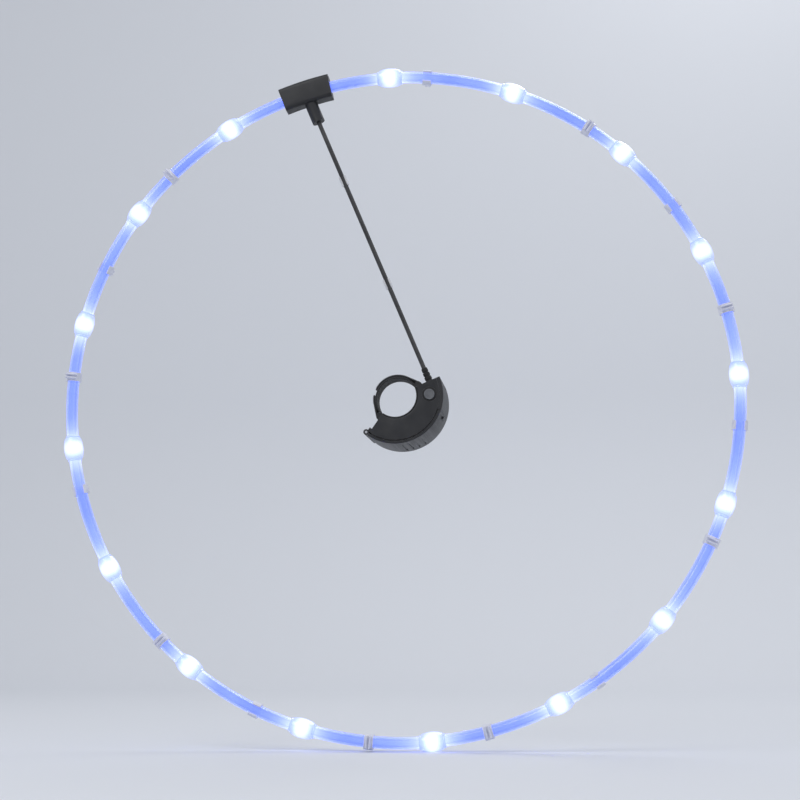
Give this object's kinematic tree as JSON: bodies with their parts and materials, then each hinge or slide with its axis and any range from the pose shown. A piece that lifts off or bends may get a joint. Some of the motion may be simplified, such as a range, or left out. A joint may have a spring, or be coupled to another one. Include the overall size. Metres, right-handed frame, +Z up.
{
  "type": "spoke wheel light",
  "caption": "Ring of lamps in a clear tube that clips to a bicycle wheel's spokes, wired to a hinged battery case strapped round the hub.",
  "frame": {"origin": "middle of the wheel's hub, on the axle and in the ring's plane", "axes": "+Y along the axle to the rear of the wheel, +Z up, the ring in the XZ plane"},
  "size_m": [0.5324, 0.0615, 0.5337],
  "materials": {
    "clear_hose": "clear flexible hose, slightly milky",
    "clear_lens": "clear, polished",
    "tinned_wire": "bare stranded wire",
    "lamp_board": "white solder mask",
    "lamp_chip": "white with a clear window",
    "clip_nylon": "natural nylon",
    "black_case": "fine spark-eroded grain",
    "black_rubber": "matt",
    "lead_jacket": "satin jacket",
    "core_sleeve": "smooth",
    "screw_steel": "plated",
    "contact_nickel": "nickel plated",
    "cell_sleeve": "printed film over a metal can, plain",
    "circuit_green": "solder mask over laminate",
    "component_black": "moulded",
    "connector_white": "moulded nylon",
    "webbing": "woven loop tape",
    "button_grey": "moulded, satin"
  },
  "bodies": {
    "light": {"battery_1": "cell_sleeve", "battery_2": "cell_sleeve", "battery_3": "cell_sleeve", "battery_wires": "core_sleeve", "board_screws": "screw_steel", "button_seal": "black_rubber", "circuit_board": "circuit_green", "contact_plates": "contact_nickel", "contact_springs": "contact_nickel", "controller_chip": "component_black", "cover_screws": "screw_steel", "electronics_cover": "black_case", "hub_pad": "black_rubber", "hub_strap": "webbing", "joiner_front": "black_case", "joiner_rear": "black_case", "joiner_screws": "screw_steel", "junction_board": "circuit_green", "lead_cable": "lead_jacket", "lead_clips": "clip_nylon", "lead_connector": "connector_white", "lead_cores": "core_sleeve", "lead_gland": "black_rubber", "led_boards": "lamp_board", "led_chips": "lamp_chip", "led_lens_01": "clear_lens", "led_lens_02": "clear_lens", "led_lens_03": "clear_lens", "led_lens_04": "clear_lens", "led_lens_05": "clear_lens", "led_lens_06": "clear_lens", "led_lens_07": "clear_lens", "led_lens_08": "clear_lens", "led_lens_09": "clear_lens", "led_lens_10": "clear_lens", "led_lens_11": "clear_lens", "led_lens_12": "clear_lens", "led_lens_13": "clear_lens", "led_lens_14": "clear_lens", "led_lens_15": "clear_lens", "led_lens_16": "clear_lens", "lid_gasket": "black_rubber", "lid_hinge_pin": "screw_steel", "light_tube": "clear_hose", "pack_base": "black_case", "small_components": "component_black", "spoke_clips": "clip_nylon", "switch_body": "component_black", "tube_seals": "black_rubber", "wire_inner": "tinned_wire", "wire_outer": "tinned_wire"},
    "lid": {"pack_lid": "black_case"},
    "button": {"power_button": "button_grey", "switch_plunger": "button_grey"},
    "tab": {"strap_tab": "webbing"}
  },
  "joints": [
    {"name": "lid_hinge", "type": "hinge", "parent": "light", "child": "lid", "pos_m": [-0.02205, 0, -0.02738], "axis": [0, 1, 0], "range_deg": [0, 110]},
    {"name": "button_press", "type": "slide", "parent": "light", "child": "button", "axis": [0, 1, 0], "range_m": [0, 0.0006], "stiffness_N_per_m": 800, "springref_m": -0.0005},
    {"name": "strap_peel", "type": "hinge", "parent": "light", "child": "tab", "pos_m": [-0.00841, 0, 0.01726], "axis": [0, 1, 0], "range_deg": [0, 60]}
  ]
}
